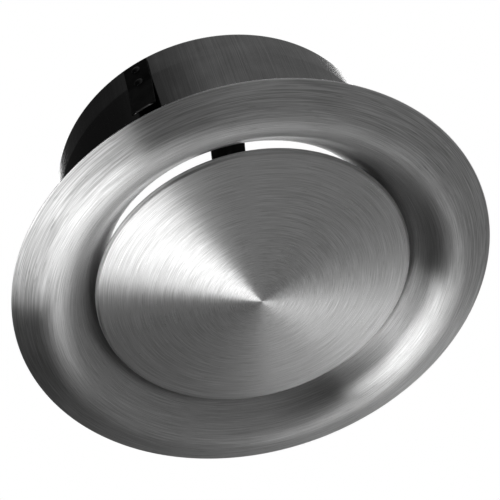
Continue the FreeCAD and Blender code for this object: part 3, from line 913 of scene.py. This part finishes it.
def rolled_steel(name, dark, light, roughness, anisotropy):
    """Stainless sheet with its rolling grain along Z, spot welded at its flare."""
    material, tree, principled = shader(name)
    x, y, z = place(tree)
    radius, across, along = polar(tree, x, y)
    grain = noise_node(tree, combine(tree, calc(tree, "MULTIPLY", across, 170.0),
                                     calc(tree, "MULTIPLY", along, 170.0),
                                     calc(tree, "MULTIPLY", z, 22.0)), 1.0, 4.0, 0.6)
    cloud = noise_node(tree, combine(tree, x, y, z), 55.0, 3.0, 0.6)
    mixed = calc(tree, "ADD", calc(tree, "MULTIPLY", grain, 0.6),
                 calc(tree, "MULTIPLY", cloud, 0.4))
    colour = ramp(tree, mixed, ((0.32, dark), (0.68, light)))
    welds = weld_marks(tree, x, y, radius, WELD_RADIUS, WELD_COUNT, WELD_SIZE)
    tinted = blend_colour(tree, calc(tree, "MULTIPLY", welds, 0.55), colour, (0.20, 0.17, 0.14))
    worn = remap(tree, z, NECK_REAR_Z - 0.5 * MM, NECK_REAR_Z - 0.1 * MM, 0.0, 1.0)
    tree.links.new(blend_colour(tree, worn, tinted, (0.85, 0.85, 0.84)),
                   principled.inputs["Base Color"])
    tree.links.new(remap(tree, mixed, 0.3, 0.7, roughness * 1.15, roughness * 0.85),
                   principled.inputs["Roughness"])
    principled.inputs["Metallic"].default_value = 1.0
    grain_direction(tree, principled, 0.25, anisotropy)
    bump(tree, principled, calc(tree, "SUBTRACT", grain, calc(tree, "MULTIPLY", welds, 2.0)),
         0.12, 0.03 * MM)
    return material


def plated(name, dark, light, worn, roughness):
    """A bright plated or passivated fastener: cloudy film, tool marks and rubbed edges."""
    material, tree, principled = shader(name)
    x, y, z = place(tree)
    radius, across, _ = polar(tree, x, y)
    spot = combine(tree, x, y, z)
    film = noise_node(tree, spot, 900.0, 4.0, 0.6)
    marks = noise_node(tree, combine(tree, calc(tree, "MULTIPLY", radius, 9000.0),
                                     calc(tree, "MULTIPLY", across, 5.0),
                                     calc(tree, "MULTIPLY", z, 6000.0)), 1.0, 3.0, 0.6)
    mixed = calc(tree, "ADD", calc(tree, "MULTIPLY", film, 0.55),
                 calc(tree, "MULTIPLY", marks, 0.45))
    colour = ramp(tree, mixed, ((0.32, dark), (0.66, light)))
    tree.links.new(blend_colour(tree, edges(tree, 0.52, 0.58), colour, worn),
                   principled.inputs["Base Color"])
    tree.links.new(remap(tree, mixed, 0.3, 0.7, roughness * 1.3, roughness * 0.75),
                   principled.inputs["Roughness"])
    principled.inputs["Metallic"].default_value = 1.0
    bump(tree, principled, mixed, 0.18, 0.03 * MM)
    return material


def black_finish_and_shade(name, dark, light, worn, roughness, wear, shine, bare_highlight_below=-1.0):
    """Phosphated or painted black steel, with fine grain and bare worn edges; on the strap its near
    black is painted shade.

    Below a given height it is bright bare metal: a real cut edge and a painted highlight on the
    clips' free ends.
    """
    material, tree, principled = shader(name)
    x, y, z = place(tree)
    spot = combine(tree, x, y, z)
    grit = noise_node(tree, spot, 2600.0, 3.0, 0.6)
    patch = noise_node(tree, spot, 190.0, 4.0, 0.6)
    mixed = calc(tree, "ADD", calc(tree, "MULTIPLY", grit, 0.45),
                 calc(tree, "MULTIPLY", patch, 0.55))
    colour = ramp(tree, mixed, ((0.32, dark), (0.68, light)))
    rubbed = calc(tree, "MULTIPLY", edges(tree, 0.52, 0.6),
                  remap(tree, patch, 0.4, 0.62, wear * 0.3, wear))
    # painted highlight: below the given height the steel is bright bare metal, partly a real cut
    # edge
    bare_tip_highlight = remap(tree, z, bare_highlight_below - 0.3 * MM, bare_highlight_below, 1.0, 0.0)
    # the rubbed edges and the painted highlight at the clips' free ends share this mask
    rubbed = calc(tree, "MAXIMUM", rubbed, bare_tip_highlight)
    tree.links.new(blend_colour(tree, rubbed, colour, worn), principled.inputs["Base Color"])
    principled.inputs["Specular IOR Level"].default_value = shine
    gloss = remap(tree, mixed, 0.3, 0.7, roughness * 1.2, roughness * 0.8)
    tree.links.new(calc(tree, "SUBTRACT", gloss, calc(tree, "MULTIPLY", bare_tip_highlight, 0.1)),
                   principled.inputs["Roughness"])
    tree.links.new(remap(tree, rubbed, 0.0, 1.0, 0.2, 1.0), principled.inputs["Metallic"])
    bump(tree, principled, grit, 0.25, 0.02 * MM)
    return material


def soft_foam(name):
    """Dark closed-cell foam with open cells on its cut skin, their hollows darkened in colour as
    painted shade.
    """
    material, tree, principled = shader(name)
    x, y, z = place(tree)
    cells = tree.nodes.new("ShaderNodeTexVoronoi")
    cells.inputs["Scale"].default_value = 1500.0
    tree.links.new(combine(tree, x, y, z), cells.inputs["Vector"])
    pore_pits_and_shade = cells.outputs["Distance"]
    tone = noise_node(tree, combine(tree, x, y, z), 60.0, 3.0, 0.6)
    skin_colour = ramp(tree, tone, ((0.35, (0.030, 0.030, 0.032)), (0.65, (0.055, 0.055, 0.058))))
    # painted shade: the pore hollows are blended towards near black
    tree.links.new(blend_colour(tree, remap(tree, pore_pits_and_shade, 0.15, 0.5, 0.85, 0.0), skin_colour,
                                (0.008, 0.008, 0.009)), principled.inputs["Base Color"])
    tree.links.new(remap(tree, tone, 0.3, 0.7, 0.85, 0.98), principled.inputs["Roughness"])
    bump(tree, principled, pore_pits_and_shade, 0.6, 0.15 * MM)
    return material


# ---- Materials -------------------------------------------------------------------------------

ring_steel = turned_steel("ring_steel", (0.41, 0.41, 0.41), (0.67, 0.67, 0.67),
                          0.31, 1.0, 0.13 * MM, 4.5, RIM_RADIUS)
disc_steel = turned_steel("disc_steel", (0.42, 0.42, 0.42), (0.64, 0.64, 0.64),
                          0.30, 0.98, 0.11 * MM, 3.0, DISC_RADIUS)
bracket_steel = turned_steel("bracket_steel", (0.36, 0.36, 0.36), (0.52, 0.52, 0.52),
                             0.36, 0.5, 0.6 * MM, 4.0, BRACKET_RADIUS)
neck_steel = rolled_steel("neck_steel", (0.27, 0.27, 0.27), (0.47, 0.47, 0.47), 0.22, 0.8)
# painted shade: the strap's near-black colour stands in for the shadow it lies in behind the disc
strap_shade_black = black_finish_and_shade("strap_shade_black", (0.006, 0.006, 0.006), (0.014, 0.014, 0.014),
                        (0.10, 0.10, 0.10), 0.45, 0.4, 0.15)
# the clips' free ends get a painted highlight as bright bare metal, partly a real cut edge
clip_black = black_finish_and_shade("clip_black", (0.005, 0.005, 0.005), (0.012, 0.012, 0.012),
                       (0.80, 0.80, 0.80), 0.40, 0.05, 0.05, CLIP_TIP_Z + 0.55 * MM)
rivet_black = black_finish_and_shade("rivet_black", (0.012, 0.012, 0.013), (0.026, 0.026, 0.027),
                        (0.30, 0.30, 0.30), 0.22, 0.6, 0.9)
rivet_steel = plated("rivet_steel", (0.05, 0.05, 0.052), (0.12, 0.12, 0.122),
                     (0.40, 0.40, 0.40), 0.28)
zinc = plated("zinc", (0.50, 0.51, 0.53), (0.72, 0.73, 0.74), (0.85, 0.85, 0.86), 0.28)
spring_steel = plated("spring_steel", (0.22, 0.22, 0.23), (0.34, 0.34, 0.35),
                      (0.60, 0.60, 0.60), 0.30)
foam = soft_foam("foam")


# ---- Build -----------------------------------------------------------------------------------

front_ring()
spigot()
disc()
gasket()
strap()
bush()
strap_rivets()
nut("clamp_nut", "disc", BRACKET_REAR_Z - SHEET - WASHER_HEIGHT - NUT_HEIGHT, NUT_HEIGHT,
    "disc_nut")
nut("thin_nut", "lock_nut", LOCK_NUT_Z, LOCK_NUT_HEIGHT, "lock_nut")
spindle()
stop_ring()
toothed_washer()
bracket()
washer()
clip_rivets()
for number, angle in enumerate(CLIP_ANGLES, start=1):
    clip(number, angle)


# ---- Camera ----------------------------------------------------------------------------------

def camera_matrix():
    """The camera's place: it looks up at the valve from in front, rolled about its line."""
    azimuth = math.radians(CAMERA_AZIMUTH)
    elevation = math.radians(CAMERA_ELEVATION)
    back = Vector((math.sin(azimuth) * math.cos(elevation),
                   -math.cos(azimuth) * math.cos(elevation), math.sin(elevation)))
    level = back.to_track_quat("Z", "Y").to_matrix().to_4x4()
    roll = Matrix.Rotation(math.radians(-CAMERA_ROLL), 4, "Z")
    return Matrix.Translation(CAMERA_AIM + back * CAMERA_DISTANCE) @ level @ roll


def make_camera():
    data = bpy.data.cameras.new("camera")
    data.lens = CAMERA_LENS
    data.sensor_width = CAMERA_SENSOR
    data.clip_start = 0.01
    data.clip_end = 20.0
    camera = bpy.data.objects.new("camera", data)
    bpy.context.scene.collection.objects.link(camera)
    camera.matrix_world = camera_matrix()
    bpy.context.scene.camera = camera


make_camera()


# ---- Studio ----------------------------------------------------------------------------------

FLOOR_Z = -1.6
FLOOR_HALF = 40.0
FLOOR_GLOW = 0.6
PRINT_GAMMA = 0.82           # below 1 the middle tones print darker
ROOM_DARK = 0.02             # the room's tone towards -Y
ROOM_LIGHT = 0.30            # and towards +Y
ROOM_FADE = (-0.5, 0.1)      # between these values of a direction's Y it goes from one to the other
SOFTBOX_DISTANCE = 1.2
# Softboxes: name, direction from the valve, width and brightness for its size.
SOFTBOXES = (
    ("key", (-0.16, -0.55, -0.82), 0.95, 2.0),
    ("front", (-0.46, -0.15, -0.88), 0.40, 2.0),
    ("low", (-0.74, 0.23, -0.63), 0.35, 1.6),
)
TOP_PLACE = (-1.0, 0.2, 1.4)
TOP_WIDTH = 1.2
TOP_POWER = 14.0


def world():
    """A white backdrop for the camera, and a room that fades from dark to pale for the valve."""
    studio = bpy.data.worlds.new("studio")
    bpy.context.scene.world = studio
    studio.use_nodes = True
    tree = studio.node_tree
    tree.nodes.clear()
    output = tree.nodes.new("ShaderNodeOutputWorld")
    mix = tree.nodes.new("ShaderNodeMixShader")
    path = tree.nodes.new("ShaderNodeLightPath")
    coordinates = tree.nodes.new("ShaderNodeTexCoord")
    split = tree.nodes.new("ShaderNodeSeparateXYZ")
    tree.links.new(coordinates.outputs["Generated"], split.inputs[0])
    room = tree.nodes.new("ShaderNodeBackground")
    tree.links.new(remap(tree, split.outputs["Y"], *ROOM_FADE, ROOM_DARK, ROOM_LIGHT),
                   room.inputs["Color"])
    backdrop = tree.nodes.new("ShaderNodeBackground")
    backdrop.inputs["Color"].default_value = (1, 1, 1, 1)
    tree.links.new(path.outputs["Is Camera Ray"], mix.inputs[0])
    tree.links.new(room.outputs[0], mix.inputs[1])
    tree.links.new(backdrop.outputs[0], mix.inputs[2])
    tree.links.new(mix.outputs[0], output.inputs["Surface"])


def area_light(name, shape, place_at, size, power):
    """A soft light that faces the valve."""
    data = bpy.data.lights.new(name, "AREA")
    data.shape = shape
    data.size = size
    data.energy = power
    light = bpy.data.objects.new(name, data)
    bpy.context.scene.collection.objects.link(light)
    light.location = place_at
    light.rotation_mode = "QUATERNION"
    light.rotation_quaternion = light.location.to_track_quat("Z", "Y")
    light.visible_camera = False


def lights():
    """Three softboxes in front of the valve and a round light behind it."""
    for name, direction, width, brightness in SOFTBOXES:
        place_at = Vector(direction).normalized() * SOFTBOX_DISTANCE
        area_light(name, "SQUARE", place_at, width, brightness * math.pi * width ** 2)
    area_light("top", "DISK", TOP_PLACE, TOP_WIDTH, TOP_POWER)


def floor():
    """A pale floor far below with a soft glow of its own; it doesn't show in or light the valve."""
    bm = bmesh.new()
    corners = [bm.verts.new((x * FLOOR_HALF, y * FLOOR_HALF, FLOOR_Z))
               for x, y in ((-1, -1), (1, -1), (1, 1), (-1, 1))]
    bm.faces.new(corners)
    mesh = bpy.data.meshes.new("floor")
    bm.to_mesh(mesh)
    bm.free()
    obj = bpy.data.objects.new("floor", mesh)
    bpy.context.scene.collection.objects.link(obj)
    material, tree, principled = shader("floor_paint")
    x, y, z = place(tree)
    tone = noise_node(tree, combine(tree, x, y, z), 3.0, 3.0, 0.6)
    tree.links.new(ramp(tree, tone, ((0.3, (0.80, 0.80, 0.80)), (0.7, (0.86, 0.86, 0.86)))),
                   principled.inputs["Base Color"])
    tree.links.new(remap(tree, tone, 0.3, 0.7, 0.8, 0.9), principled.inputs["Roughness"])
    principled.inputs["Emission Color"].default_value = (1.0, 1.0, 1.0, 1.0)
    principled.inputs["Emission Strength"].default_value = FLOOR_GLOW
    obj.data.materials.append(material)
    obj.visible_glossy = False
    obj.visible_diffuse = False


world()
lights()
floor()
bpy.context.scene.view_settings.view_transform = "Standard"
bpy.context.scene.view_settings.gamma = PRINT_GAMMA
